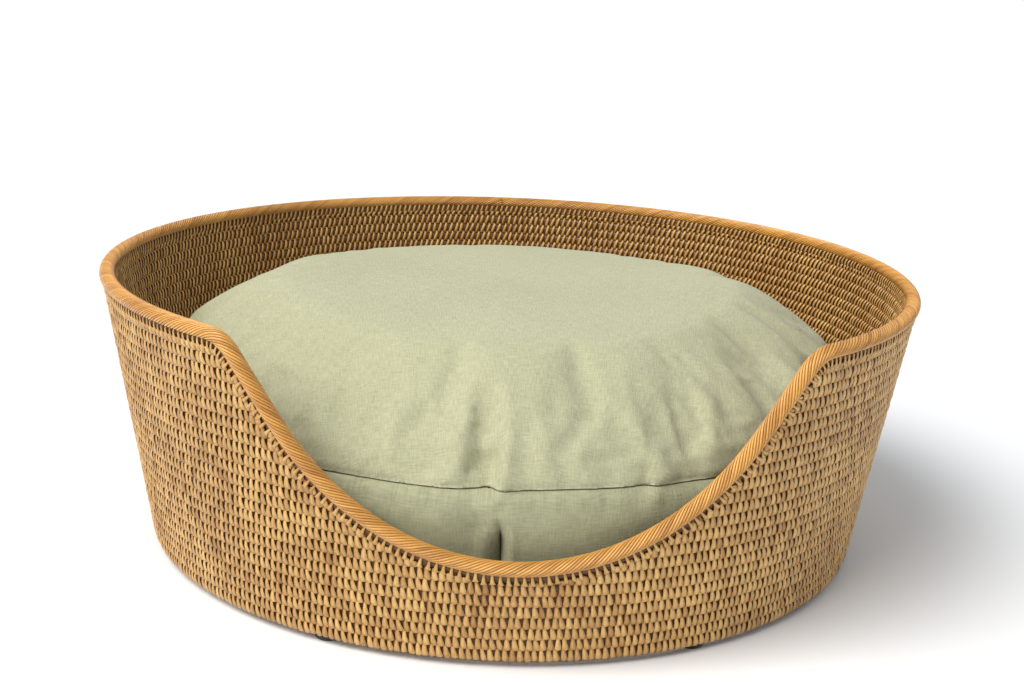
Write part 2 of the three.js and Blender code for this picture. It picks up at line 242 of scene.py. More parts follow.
class Nodes:
    """A material or a node group under construction: add() places a node and links its inputs."""

    def __init__(self, tree):
        self.tree = tree

    def add(self, kind, inputs=None, **settings):
        node = self.tree.nodes.new("ShaderNode" + kind)
        for name, value in settings.items():
            setattr(node, name, value)
        for name, value in (inputs or {}).items():
            if isinstance(value, bpy.types.NodeSocket):
                self.tree.links.new(value, node.inputs[name])
            else:
                node.inputs[name].default_value = value
        return node

    def math(self, operation, *values, clamp=False):
        inputs = dict(enumerate(values))
        return self.add("Math", inputs, operation=operation, use_clamp=clamp).outputs[0]

    def blend(self, amount, first, second, mode="MIX"):
        node = self.add("Mix", {0: amount, 6: first, 7: second}, data_type="RGBA", blend_type=mode)
        return node.outputs[2]

    def note(self, name, output="Fac"):
        return self.add("Attribute", attribute_name=name).outputs[output]

    def noise(self, where, scale, detail, **more):
        inputs = {"Vector": where, "Scale": scale, "Detail": detail, **more}
        return self.add("TexNoise", inputs).outputs[0]

    def join(self, node, sources):
        for name, source in sources.items():
            self.tree.links.new(source, node.inputs[name])


def effect(name, sockets):
    """A shared node group that takes these (name, kind, default) and gives a finish: colour,
    roughness and height."""
    tree = bpy.data.node_groups.new(name, "ShaderNodeTree")
    for label, kind, value in sockets:
        socket = tree.interface.new_socket(label, in_out="INPUT", socket_type="NodeSocket" + kind)
        socket.default_value = value
    for label, kind in (("Color", "Color"), ("Roughness", "Float"), ("Height", "Float")):
        tree.interface.new_socket(label, in_out="OUTPUT", socket_type="NodeSocket" + kind)
    given = tree.nodes.new("NodeGroupInput").outputs
    return Nodes(tree), given, tree.nodes.new("NodeGroupOutput")


def make_cane_fibres():
    """Long fine fibres and drifting colour, which every strip of cane shows. Inner faces are drawn
    darker towards the Shade colour: partly a darker inside finish, partly painted shade of the
    recesses.
    """
    n, given, out = effect("cane_fibres", [
        ("Grain", "Vector", (0, 0, 0)), ("Tone", "Float", 0.5), ("Inner", "Float", 0.0),
        ("Pale", "Color", (0.72, 0.45, 0.18, 1)), ("Deep", "Color", (0.3, 0.12, 0.02, 1)),
        ("Shade", "Color", (0.1, 0.04, 0.008, 1)),
    ])
    fibre = n.noise(given["Grain"], 1.0, 4.0, Roughness=0.65)
    where = n.add("TexCoord").outputs["Object"]
    patch = n.noise(where, 16.0, 3.0)
    mottle = n.noise(where, 420.0, 2.0)
    strong = n.add("MapRange", {0: fibre, 1: 0.36, 2: 0.68}).outputs[0]
    drift = n.math("MULTIPLY_ADD", patch, 0.9, -0.45)
    mixed = n.math("ADD", n.math("MULTIPLY", given["Tone"], 0.62), n.math("MULTIPLY", strong, 0.34))
    amount = n.math("ADD", mixed, n.math("ADD", drift, n.math("MULTIPLY_ADD", mottle, 0.3, -0.15)),
                    clamp=True)
    lit = n.blend(amount, given["Pale"], given["Deep"])
    # Painted shade, with a darker inside finish: Inner blends the colour a third of the way to
    # Shade.
    shaded = n.blend(given["Inner"], lit, n.blend(0.32, lit, given["Shade"]))
    rough = n.add("MapRange", {0: strong, 3: 0.34, 4: 0.55}).outputs[0]
    n.join(out, {"Color": shaded, "Roughness": rough, "Height": fibre})
    return n.tree


cane_fibres = make_cane_fibres()


def begin_finish(name):
    """A new material, its nodes and its surface."""
    material = bpy.data.materials.new(name)
    material.use_nodes = True
    n = Nodes(material.node_tree)
    return material, n, n.tree.nodes["Principled BSDF"]


def cover_with(n, surface, shared, strength, distance):
    """Joins the colour, roughness and relief of a shared effect to the surface."""
    raised = n.add("Bump", {"Height": shared.outputs["Height"], "Strength": strength,
                            "Distance": distance})
    n.join(surface, {"Base Color": shared.outputs["Color"], "Normal": raised.outputs[0],
                     "Roughness": shared.outputs["Roughness"]})


def cane_finish(name, pale, deep, shade=(0.36, 0.155, 0.022, 1), stretch=(900, 900, 70),
                grain=None, coat=0.25, bump=0.0004, inner=True):
    """Varnished split cane. stretch draws the fibres out along the strip; with inner, the points'
    inner note sets how much painted shade darkens it.
    """
    material, n, surface = begin_finish(name)
    where = n.note(grain, "Vector") if grain else n.add("TexCoord").outputs["Object"]
    inputs = {"Grain": n.add("Mapping", {"Vector": where, "Scale": stretch}).outputs[0],
              "Tone": n.note("tone"), "Pale": pale, "Deep": deep, "Shade": shade}
    if inner:
        inputs["Inner"] = n.note("inner")
    cover_with(n, surface, n.add("Group", inputs, node_tree=cane_fibres), 0.5, bump)
    surface.inputs["Coat Weight"].default_value = coat
    surface.inputs["Coat Roughness"].default_value = 0.3
    return material


lashing = cane_finish("split_cane", (0.76, 0.465, 0.16, 1), (0.31, 0.125, 0.025, 1))
finish_piece(floor, "floor_mat", lashing, nodes=["floor_coil"])

# -------- hoop under the cushion
# A rattan pole bent into a ring that lies on the edge of the floor and stiffens it. It shows the
# pole's growth rings as low swellings, and its two ends meet in a scarf at the back.

hoop_low, hoop_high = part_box("base_hoop")
pole_radius = (hoop_high.z - hoop_low.z) / 2
hoop_radius = (hoop_high.x - hoop_low.x) / 2 - pole_radius
bpy.ops.mesh.primitive_torus_add(
    major_segments=192, minor_segments=12, major_radius=hoop_radius, minor_radius=pole_radius,
    location=axis + Vector((0, 0, (hoop_low.z + hoop_high.z) / 2)),
)
hoop = added()
for knuckle in (0.4, 1.5, 2.5, 3.7, 4.9, 5.8):
    pick(hoop, lambda x, y, z: np.abs(np.arctan2(y - axis.y, x) % (2 * np.pi) - knuckle) < 0.018)
    bpy.ops.transform.shrink_fatten(value=0.0004)
pick(hoop, lambda x, y, z: (np.abs(x - 0.35 * (z - hoop_low.z)) < 0.006) & (y > 0))
bpy.ops.transform.shrink_fatten(value=-0.0005)
smooth(hoop)
note_on_points(hoop, "tone", 0.3)
pole = cane_finish("rattan_pole", (0.62, 0.38, 0.17, 1), (0.28, 0.13, 0.04, 1),
                   stretch=(90, 90, 700), coat=0.05, inner=False)
finish_piece(hoop, "floor_hoop", pole, nodes=["base_hoop"])

# -------- feet
# Six turned rubber feet with a rounded ground edge, a moulded groove and a recess for the screw
# that holds each one up against the hoop.

FEET = ("front_right", "side_right", "back_right", "back_left", "side_left", "front_left")
foot_low, foot_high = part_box("foot_front_right")
foot_radius = (foot_high.x - foot_low.x) / 2
foot_height = foot_high.z - foot_low.z
foot_edge = 0.0021
recess_radius = 0.0042
recess_depth = 0.0032
groove_height = foot_height * 0.7
bpy.ops.mesh.primitive_cylinder_add(
    vertices=32, radius=foot_radius, depth=foot_height, location=(0, 0, foot_height / 2),
)
foot = added()
pick(foot, lambda x, y, z: z < 1e-5)
bpy.ops.mesh.bevel(offset=foot_edge, segments=4, profile=0.6)
pick(foot, lambda x, y, z: z < 1e-5)
bpy.ops.mesh.inset(thickness=foot_radius - foot_edge - recess_radius)
bpy.ops.mesh.extrude_region_move(TRANSFORM_OT_translate={"value": (0, 0, recess_depth)})
bpy.ops.mesh.select_all(action="SELECT")
bpy.ops.mesh.bisect(plane_co=(0, 0, groove_height), plane_no=(0, 0, 1))
bpy.ops.mesh.bevel(offset=0.0004, segments=2, affect="EDGES")
resize(foot, (0.965, 0.965, 1),
       lambda x, y, z: (np.abs(z - groove_height) < 1e-4) & (np.hypot(x, y) > 0.009))
smooth(foot, 0.7)


def make_wear():
    """Fine scuffs and dust, stronger in patches: handling marks on rubber, plastic and metal."""
    n, given, out = effect("handling_wear", [
        ("Scale", "Float", 300.0), ("Clean", "Color", (0.02, 0.02, 0.02, 1)),
        ("Worn", "Color", (0.1, 0.1, 0.1, 1)), ("Smooth", "Float", 0.4), ("Rough", "Float", 0.8),
    ])
    where = n.add("TexCoord").outputs["Object"]
    speck = n.noise(where, given["Scale"], 5.0, Roughness=0.7)
    patch = n.noise(where, 45.0, 2.0)
    worn = n.add("MapRange", {0: n.math("MULTIPLY", speck, patch), 1: 0.2, 2: 0.42}).outputs[0]
    rough = n.add("MapRange", {0: worn, 3: given["Smooth"], 4: given["Rough"]}).outputs[0]
    tint = n.blend(worn, given["Clean"], given["Worn"])
    n.join(out, {"Color": tint, "Roughness": rough, "Height": speck})
    return n.tree


handling_wear = make_wear()


def worn_finish(name, clean, worn, polish, rough, scale, metallic=0.0):
    material, n, surface = begin_finish(name)
    marks = n.add("Group", {"Scale": scale, "Clean": clean, "Worn": worn, "Smooth": polish,
                            "Rough": rough}, node_tree=handling_wear)
    cover_with(n, surface, marks, 0.4, 0.0001)
    surface.inputs["Metallic"].default_value = metallic
    return material


rubber = worn_finish("foot_rubber", (0.012, 0.012, 0.013, 1), (0.06, 0.058, 0.055, 1),
                     0.5, 0.85, 900)


def set_under_hoop(model, name, material, node):
    """A copy of the model at each of the six places under the hoop."""
    for place in FEET:
        low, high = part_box(node + place)
        copy = duplicate(model, name + place)
        copy.location = ((low.x + high.x) / 2, (low.y + high.y) / 2, 0)
        settle(copy)
        finish_piece(copy, copy.name, material, nodes=[node + place])
    discard(model)


set_under_hoop(foot, "rubber_foot_", rubber, "foot_")

# -------- foot screws
# A steel wood screw in each foot, with a low domed head, a hexagonal socket and a plain shank
# that runs up through the floor into the hoop.

screw_low, screw_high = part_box("foot_screw_front_right")
head_radius = (screw_high.x - screw_low.x) / 2
head_height = 0.0018
shank_radius = 0.0017
bpy.ops.mesh.primitive_cylinder_add(
    vertices=24, radius=head_radius, depth=head_height,
    location=(0, 0, screw_low.z + head_height / 2),
)
screw = added()
pick(screw, lambda x, y, z: z < screw_low.z + 1e-5)
bpy.ops.mesh.bevel(offset=0.0011, segments=3, profile=0.5)
pick(screw, lambda x, y, z: z > screw_low.z + head_height - 1e-5)
bpy.ops.mesh.inset(thickness=head_radius - shank_radius)
shank_length = screw_high.z - screw_low.z - head_height
for share in (0.8, 0.2):
    bpy.ops.mesh.extrude_region_move(
        TRANSFORM_OT_translate={"value": (0, 0, shank_length * share)})
bpy.ops.transform.resize(value=(0.15, 0.15, 1))
take_up(screw)
bpy.ops.mesh.primitive_cylinder_add(
    vertices=6, radius=0.0015, depth=0.0022, location=(0, 0, screw_low.z),
)
socket = bpy.context.object
modify(screw, "BOOLEAN", operation="DIFFERENCE", object=socket)
discard(socket)
smooth(screw, 0.6)
steel = worn_finish("screw_steel", (0.42, 0.42, 0.43, 1), (0.2, 0.19, 0.18, 1),
                    0.25, 0.55, 1600, metallic=1.0)
set_under_hoop(screw, "wood_screw_", steel, "foot_screw_")

# -------- wall: core canes
# Twenty-four turns of round rattan stacked into a wall that leans outwards. Each turn above the
# entrance's lowest point stops short at both sides of it, inside the rim.

COURSES = 24
wall_low = floor_low.z
base_radius = 0.281
rim_radius = 0.315
wall_height = 0.205
course_pitch = (wall_height - 0.0056) / COURSES
flat_radius = (rim_radius + base_radius) / 2
core_radius = 0.0023
scoop_low = 0.068
scoop_arc = 0.194
scoop_slope = math.radians(56)
knee_radius = 0.024


def wall_radius(height):
    return base_radius + (rim_radius - base_radius) * height / wall_height


arc_centre = scoop_low + scoop_arc
arc_end_x = scoop_arc * math.sin(scoop_slope)
arc_end_height = arc_centre - scoop_arc * math.cos(scoop_slope)
knee_foot_height = wall_height - knee_radius * (1 - math.cos(scoop_slope))
knee_foot_x = arc_end_x + (knee_foot_height - arc_end_height) / math.tan(scoop_slope)
knee_centre_x = knee_foot_x + knee_radius * math.sin(scoop_slope)


def rim_height(along):
    """Height of the rim's centre line over the wall's bottom edge; along is the distance from
    the middle of the entrance on the flattened wall."""
    along = np.abs(along)
    arc = arc_centre - np.sqrt(np.maximum(scoop_arc ** 2 - along ** 2, 0))
    straight = arc_end_height + (along - arc_end_x) * math.tan(scoop_slope)
    across = np.clip(knee_centre_x - along, 0, knee_radius)
    knee = wall_height - knee_radius + np.sqrt(knee_radius ** 2 - across ** 2)
    height = np.where(along < arc_end_x, arc, np.where(along < knee_foot_x, straight, knee))
    return np.where(along > knee_centre_x, wall_height, height)


def edge_of_entrance(height):
    """Angle from the middle of the entrance at which the wall starts, at a height."""
    along = np.linspace(0, knee_centre_x, 400)
    return float(np.interp(height, rim_height(along), along)) / flat_radius


def join_pieces(pieces):
    """Joins the pieces into the first of them."""
    take_up(pieces[0])
    for piece in pieces:
        piece.select_set(True)
    bpy.ops.object.join()
    return pieces[0]


cores = []
for index in range(COURSES):
    height = (index + 0.5) * course_pitch
    start = edge_of_entrance(height) if height > scoop_low - 0.002 else 0.0
    start_place = axis + Vector((
        wall_radius(height) * math.sin(start), -wall_radius(height) * math.cos(start),
        wall_low + height,
    ))
    bpy.ops.mesh.primitive_circle_add(
        vertices=8, radius=core_radius, rotation=(0, math.pi / 2, start), location=start_place)
    core = added()
    resize(core, (1, 1, 1.95), centre=start_place)
    if start:
        bpy.ops.mesh.spin(steps=88, angle=2 * start - 2 * math.pi, center=axis, axis=(0, 0, 1))
        close_ends(core)
        pick(core)
    else:
        bpy.ops.mesh.spin(steps=96, angle=2 * math.pi, center=axis, axis=(0, 0, 1))
        pick(core)
        bpy.ops.mesh.remove_doubles(threshold=0.0001)
    bpy.ops.mesh.normals_make_consistent(inside=False)
    take_up(core)
    cores.append(core)
core_canes = join_pieces(cores)
smooth(core_canes)
# The core canes are drawn nearly black and fully inner: a dark aged core, darkened further as
# painted shade in the holes between the stitches.
note_on_points(core_canes, "tone", 0.6)
note_on_points(core_canes, "inner", 1)
shaded_core_cane = cane_finish("shaded_core_cane", (0.034, 0.014, 0.004, 1), (0.012, 0.005, 0.002, 1),
                        stretch=(60, 60, 600), coat=0.0)
finish_piece(core_canes, "wall_core_canes", shaded_core_cane)

# -------- wall: lashing
# Split cane wound round each core cane and through the turn below it, 374 stitches to a turn.
# Outside, a stitch is narrow where it leaves the turn above and spreads until it meets its
# neighbours; inside, it stays narrow and leans the other way.

STITCHES = 374
stitch_angle = 2 * math.pi / STITCHES
stitch_reach = 0.00355
cane_half_thickness = 0.0005
cane_half_width = 0.00222

bpy.ops.mesh.primitive_torus_add(
    major_segments=10, minor_segments=5, major_radius=stitch_reach,
    minor_radius=cane_half_thickness, rotation=(0, math.pi / 2, 0),
)
stitch = added()
resize(stitch, (cane_half_width / cane_half_thickness, 1, 1.22))
resize(stitch, (0.50, 1.18, 1.34), lambda x, y, z: (y < 0.001) & (z > 0.0030))
resize(stitch, (0.80, 1.02, 1), lambda x, y, z: (y < -0.001) & (z > 0.001) & (z < 0.0030))
resize(stitch, (1.05, 1.04, 1), lambda x, y, z: (y < -0.001) & (z < 0.001))
resize(stitch, (1, 1.38, 1.06), lambda x, y, z: (y < -0.001) & (z < -0.0030))
resize(stitch, (0.56, 1, 1.06), lambda x, y, z: y > 0.001)
resize(stitch, (1, 1.28, 1.06), lambda x, y, z: (y > 0.001) & (np.abs(z) > 0.0030))
pick(stitch, lambda x, y, z: y < -0.0005)
bpy.ops.transform.rotate(value=0.16, orient_axis="Y", center_override=(0, 0, 0))
pick(stitch, lambda x, y, z: y > 0.0005)
bpy.ops.transform.rotate(value=0.30, orient_axis="Y", center_override=(0, 0, 0))
smooth(stitch)

turner = bpy.data.objects.new("stitch_turner", None)
bpy.context.scene.collection.objects.link(turner)
turner.rotation_euler = (0, 0, stitch_angle)
stitch_points = len(stitch.data.vertices)
wall_lean = math.atan2(rim_radius - base_radius, wall_height)
below_rim = 0.0090
turn = np.arange(STITCHES) * stitch_angle
side = np.sin(turn)
cosine, sine = np.cos(turn)[:, None], side[:, None]

for index in range(COURSES):
    height = (index + 0.5) * course_pitch
    middle_z = wall_low + height
    radius = wall_radius(height)
    row = duplicate(stitch, f"lashing_turn_{index + 1:02d}")
    row.rotation_euler = (wall_lean, 0, 0)
    row.location = (0, -radius, middle_z)
    row.scale = (radius / base_radius, 1, 1)
    settle(row)
    modify(row, "ARRAY", count=STITCHES, use_relative_offset=False, use_object_offset=True,
           offset_object=turner)
    at = points_of(row).reshape(STITCHES, stitch_points, 3)
    # The maker's pitch drifts: the stitches climb in a slant on one side of the basket.
    extra = stitch_angle * (index * (0.17 - 0.17 * side) + handmade.normal(0, 0.045, STITCHES))
    along = at[:, :, 0] * cosine + at[:, :, 1] * sine
    inward = at[:, :, 1] * cosine - at[:, :, 0] * sine
    lean = handmade.normal(0, 0.055, STITCHES)[:, None]
    wide = handmade.normal(1, 0.05, STITCHES)[:, None]
    proud = handmade.normal(0, 0.00012, STITCHES)[:, None]
    up = at[:, :, 2] - middle_z
    along = along * wide + up * lean * np.sign(-inward - radius)
    inward = inward - proud * np.sign(-inward - radius)
    up = up + handmade.normal(0, 0.0001, STITCHES)[:, None]
    new_turn = (turn + extra)[:, None]
    at[:, :, 0] = along * np.cos(new_turn) - inward * np.sin(new_turn)
    at[:, :, 1] = along * np.sin(new_turn) + inward * np.cos(new_turn)
    distance = (new_turn + np.pi) % (2 * np.pi) - np.pi
    limit = rim_height(distance * flat_radius) - below_rim
    at[:, :, 2] = middle_z + np.minimum(up, limit - height)
    at[:, :, 1] += axis.y
    move_points(row, at.reshape(-1, 3))
    gone = limit[:, 0] < height - course_pitch * 0.12
    tone = (handmade.normal(0.40, 0.22, STITCHES) + 0.4 * (handmade.random(STITCHES) < 0.07)
            - 0.4 * (handmade.random(STITCHES) < 0.06)).clip(0, 1)
    note_on_points(row, "tone", np.repeat(tone, stitch_points))
    # The inner note darkens each stitch from its outer face to its inner face: partly a darker
    # inside finish, partly painted shade of the wall's inside and the tucked faces.
    depth = (radius + inward) / stitch_reach
    note_on_points(row, "inner", np.clip(depth * 1.3 + 0.1, 0, 1).ravel())
    if gone.any():
        lost = np.repeat(gone, stitch_points)
        pick(row, lambda x, y, z: lost)
        bpy.ops.mesh.delete(type="VERT")
        take_up(row)
    finish_piece(row, row.name, lashing, nodes=[f"wall_course_{index + 1:02d}"])

# -------- rim: pole and wrapping
# A rattan pole runs round the top edge and down through the entrance, butted at the back. Narrow
# varnished canes are wound over it side by side on a long slant.

rim_stretch = (1.08, 0.94)
wrap_starts = 14
wrap_lead = 0.050
wrap_steps = 19.2
strip_reach = 0.0047
strip_half_thickness = 0.0005


def rim_line():
    """Places, leaning tilts and length of the rim's centre line, from the back round to the
    back again."""
    along = [0.0]
    half_turn = math.pi * flat_radius
    while along[-1] < half_turn:
        steep = math.hypot(1, (rim_height(along[-1] + 1e-4) - rim_height(along[-1])) / 1e-4)
        along.append(along[-1] + 0.004 / steep)
    along[-1] = half_turn - 1e-4
    along = np.array([-a for a in along[:0:-1]] + along)
    heights = rim_height(along)
    turn = along / flat_radius
    radii = wall_radius(heights)
    places = np.stack([radii * np.sin(turn), axis.y - radii * np.cos(turn),
                       wall_low + heights], axis=1)
    outward = np.stack([np.sin(turn) * math.cos(wall_lean), -np.cos(turn) * math.cos(wall_lean),
                        np.full(len(turn), -math.sin(wall_lean))], axis=1)
    ahead = np.gradient(places, axis=0)
    ahead /= np.linalg.norm(ahead, axis=1)[:, None]
    level = np.cross(ahead, (0, 0, 1))
    level /= np.linalg.norm(level, axis=1)[:, None]
    outward -= (outward * ahead).sum(1)[:, None] * ahead
    swing = np.arctan2((np.cross(level, outward) * ahead).sum(1), (level * outward).sum(1))
    length = np.linalg.norm(np.diff(places, axis=0), axis=1).sum()
    return places, swing, length


rim_places, rim_tilts, rim_length = rim_line()
rim_guide = guide("rim_line", rim_places, rim_tilts)

rim_turns = rim_length / wrap_lead
strip_half = 0.92 * wrap_lead / wrap_starts / 2
bpy.ops.mesh.primitive_circle_add(vertices=5, radius=1, rotation=(math.pi / 2, 0, 0))
strip = added()
resize(strip, (strip_half, 1, strip_half_thickness))
bpy.ops.transform.translate(value=(0, 0, strip_reach))
steps = int(wrap_steps * rim_turns)
modify(strip, "SCREW", axis="X", angle=-2 * math.pi * rim_turns, screw_offset=rim_length,
       steps=steps, render_steps=steps, iterations=1, use_smooth_shade=True)

strips = [strip]
for index in range(1, wrap_starts):
    strips.append(duplicate(strip, f"strip_{index}"))
    strips[-1].rotation_euler = (2 * math.pi * index / wrap_starts, 0, 0)
    settle(strips[-1])


def note_places(piece, name, *places):
    """Writes where each point lies along the material's own three ways."""
    where = np.zeros((len(piece.data.vertices), 3), np.float32)
    for way, place in enumerate(places):
        where[:, way] = place
    kept = piece.data.attributes.new(name, "FLOAT_VECTOR", "POINT")
    kept.data.foreach_set("vector", where.ravel())


for index, each in enumerate(strips):
    tone = np.clip(handmade.normal(0.45, 0.26), 0, 1)
    run = points_of(each)[:, 0]
    drift = 0.14 * np.sin(run * 23 + handmade.random() * 6)
    note_on_points(each, "tone", np.clip(tone + drift, 0, 1))
    note_places(each, "grain", np.arange(len(run)) % 5, index * 3.1, run)
join_pieces(strips)
close_ends(strip)
resize(strip, (1, *rim_stretch))
bpy.ops.mesh.normals_make_consistent(inside=False)
bend_along(strip, rim_guide)
smooth(strip)
rim_cane = cane_finish("rim_cane", (0.79, 0.40, 0.078, 1), (0.36, 0.13, 0.015, 1),
                       stretch=(0.9, 1, 110), grain="grain", coat=0.5, bump=0.0003, inner=False)
finish_piece(strip, "rim_wrapping", rim_cane, nodes=["rim_cane_wrapping"])

# -------- rim: lashing
# One loop of split cane for each stitch of the wall ties the wrapped pole to the turns below it,
# over a thin filler cane that runs close under the rim. The loops follow the rim down through the
# entrance and cover the cut ends of the turns.

loop_drop = 0.0070
loop = duplicate(stitch, "rim_loop")
resize(loop, (0.92, 1.10, 0.90))
resize(loop, (0.62, 1, 1), lambda x, y, z: (z > -0.0020) & (y < 0.001))
take_up(loop)
loop.location = (0, 0, -loop_drop)
settle(loop)
loop_count = int(rim_length / (stitch_angle * flat_radius))
repeat(loop, loop_count, (rim_length / loop_count, 0, 0))
at = points_of(loop).reshape(loop_count, -1, 3)
at[:, :, 0] += handmade.normal(0, 0.00022, loop_count)[:, None]
at[:, :, 2] += handmade.normal(0, 0.0003, loop_count)[:, None]
move_points(loop, at.reshape(-1, 3))
tone = np.clip(handmade.normal(0.4, 0.17, loop_count), 0, 1)
note_on_points(loop, "tone", np.repeat(tone, at.shape[1]))
# The loops darken towards their inner side: partly a darker inside finish, partly painted shade.
note_on_points(loop, "inner", np.clip(at[:, :, 1].ravel() / stitch_reach + 0.1, 0, 1))
bend_along(loop, rim_guide)
finish_piece(loop, "rim_lashing", lashing)

filler_steps = 600
filler_step = rim_length / filler_steps
bpy.ops.mesh.primitive_cylinder_add(
    vertices=8, radius=0.0026, depth=filler_step, end_fill_type="NOTHING",
    rotation=(0, math.pi / 2, 0), location=(filler_step / 2, 0, -0.0040),
)
filler = added()
resize(filler, (1, 1, 1.5))
repeat(filler, filler_steps, (filler_step, 0, 0), use_merge_vertices=True, merge_threshold=0.0001)
bend_along(filler, rim_guide)
close_ends(filler)
smooth(filler)
# Like the core canes, the filler is drawn nearly black: dark aged cane, darkened further as painted
# shade under the rim loops.
note_on_points(filler, "tone", 0.6)
note_on_points(filler, "inner", 1)
finish_piece(filler, "rim_filler_cane", shaded_core_cane)
discard(rim_guide, stitch, turner)

rim_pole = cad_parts["rim_core_pole"]
rim_pole.data.materials.clear()
rim_pole.data.materials.append(pole)

# -------- cushion: swollen shape
# The cushion starts as a drum with a crowned top, sewn a little small. Its filling then swells it
# as cloth, held by the seam round its top and by the flat underside it rests on.

band_low, band_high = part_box("cushion_cover_band")
crown_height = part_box("cushion_cover_top")[1].z
cushion_radius = (band_high.x - band_low.x) / 2
under_height = band_low.z
seam_height = band_high.z
corner_radius = 0.040
drum_radius = cushion_radius - 0.004
most_swell = 0.014

bpy.ops.mesh.primitive_cylinder_add(
    vertices=128, radius=drum_radius, depth=seam_height - under_height,
    location=axis + Vector((0, 0, (seam_height + under_height) / 2)),
)
cushion = added()
pick(cushion, lambda x, y, z: z < under_height + 1e-5)
bpy.ops.mesh.bevel(offset=corner_radius, segments=6, profile=0.5)
pick(cushion, lambda x, y, z: z > seam_height - 1e-5)
reach, rise = 1.0, 0.0
crown_rise = crown_height - seam_height - 0.019
for share in (0.985, 0.96, 0.92, 0.86, 0.78, 0.68, 0.55, 0.38, 0.2):
    new_rise = crown_rise * (1 - share ** 4.2) ** 0.5
    bpy.ops.mesh.inset(thickness=(reach - share) * drum_radius, depth=0)
    bpy.ops.transform.translate(value=(0, 0, new_rise - rise))
    reach, rise = share, new_rise
take_up(cushion)
cushion.data.remesh_voxel_size = 0.0055
bpy.ops.object.voxel_remesh()


def reach_of(at):
    return np.hypot(at[:, 0], at[:, 1] - axis.y)


at = points_of(cushion)
sewn = (np.abs(at[:, 2] - seam_height) < 0.004) & (reach_of(at) > cushion_radius - 0.012)
resting = (at[:, 2] < under_height + 0.004) & (reach_of(at) < cushion_radius - corner_radius)
held = cushion.vertex_groups.new(name="held")
held.add(np.flatnonzero(sewn | resting).tolist(), 1.0, "REPLACE")
take_up(cushion)
filling = cushion.modifiers.new("Filling", "CLOTH")
cloth = filling.settings
cloth.quality = 5
cloth.mass = 0.25
cloth.tension_stiffness = cloth.compression_stiffness = 14
cloth.shear_stiffness = 6
cloth.bending_stiffness = 0.6
cloth.shrink_min = -0.02
cloth.use_pressure = True
cloth.uniform_pressure_force = 4
cloth.effector_weights.gravity = 0
cloth.vertex_group_mass = "held"
for moment in range(1, 21):
    bpy.context.scene.frame_set(moment)
bpy.ops.object.modifier_apply(modifier="Filling")
bpy.context.scene.frame_set(1)
swollen = points_of(cushion)
moved = swollen - at
far = np.linalg.norm(moved, axis=1)[:, None]
at = at + moved * np.minimum(1, most_swell / np.maximum(far, 1e-9))
move_points(cushion, at)
modify(cushion, "SUBSURF", levels=1, render_levels=1)


def smooth_step(value, start, end):
    share = np.clip((value - start) / (end - start), 0, 1)
    return share * share * (3 - 2 * share)


def crease(at, facing, depth, width, run, ridge=0.45, right=1.7):
    """Presses a fold into the cloth along a run of places, each an angle from the middle of the
    entrance, a reach, a height and a share of the depth. The cloth slopes gently into the fold
    from its right and rises sharply on its left."""
    nearest = np.full(len(at), 6 * width)
    press = np.zeros(len(at))
    places = [(np.array((reach * math.sin(angle), axis.y - reach * math.cos(angle), height)), share)
              for angle, reach, height, share in run]
    for (place_a, share_a), (place_b, share_b) in zip(places, places[1:]):
        step = place_b - place_a
        length = np.linalg.norm(step)
        ahead = step / length
        away = at - place_a
        part = np.clip(away @ ahead / length, 0, 1)
        gap = away - part[:, None] * step
        offset = (gap * np.cross(ahead, facing)).sum(1) / width
        slope = np.where(offset < 0, 0.9, right)
        past = np.abs((away @ ahead) - part * length) / width
        fade = np.exp(-past ** 2) * (share_a + (share_b - share_a) * part)
        fold = -np.exp(-np.abs(offset / slope) ** 1.6) + ridge * np.exp(-(offset + 1.7) ** 2)
        distance = np.linalg.norm(gap, axis=1)
        press = np.where(distance < nearest, fold * fade * depth, press)
        nearest = np.minimum(nearest, distance)
    return at + facing * press[:, None]


FOLDS = (
    (0.0098, 0.0058, ((-0.090, 0.225, 0.184, 0.1), (-0.086, 0.250, 0.165, 0.7),
                      (-0.074, 0.271, 0.137, 1.0), (-0.072, 0.276, 0.121, 0.45),
                      (-0.070, 0.277, 0.112, 0.0))),
    (0.0056, 0.0090, ((-0.130, 0.277, 0.116, 0.2), (-0.100, 0.277, 0.094, 1.0),
                      (-0.095, 0.274, 0.060, 0.8)), 0.3),
    (0.0044, 0.0060, ((0.330, 0.262, 0.150, 0.1), (0.325, 0.272, 0.135, 1.0),
                      (0.310, 0.275, 0.120, 0.6))),
    (0.0054, 0.0110, ((0.56, 0.205, 0.188, 0.1), (0.50, 0.240, 0.172, 1.0),
                      (0.46, 0.268, 0.145, 0.8), (0.45, 0.275, 0.125, 0.3))),
    (0.0068, 0.0180, ((1.05, 0.190, 0.194, 0.2), (0.93, 0.230, 0.182, 1.0),
                      (0.84, 0.262, 0.155, 0.2))),
    (0.0046, 0.0090, ((-0.62, 0.245, 0.165, 0.1), (-0.60, 0.266, 0.145, 1.0),
                      (-0.59, 0.275, 0.125, 0.5))),
)
PINCH = ((-0.046, 0.277, 0.104, 0.05), (-0.040, 0.277, 0.093, 0.6), (-0.039, 0.276, 0.084, 1.0),
         (-0.040, 0.272, 0.066, 0.9), (-0.042, 0.266, 0.045, 0.1))
WIDENING = ((-0.041, 0.276, 0.092, 0.05), (-0.042, 0.275, 0.078, 0.9),
            (-0.043, 0.272, 0.066, 1.0), (-0.046, 0.262, 0.035, 0.0))

at = points_of(cushion)
reach = reach_of(at)
side_share = np.abs(at[:, 0]) / np.maximum(reach, 1e-6)
at[:, 2] += (0.014 * side_share ** 4 * smooth_step(reach, 0.10, 0.23)
             * (1 - smooth_step(reach, 0.258, 0.284)) * (at[:, 2] > seam_height))
move_points(cushion, at)
pad = duplicate(cushion, "cushion_pad")
facing = points_of(cushion, "normal")
for fold in FOLDS:
    at = crease(at, facing, *fold)


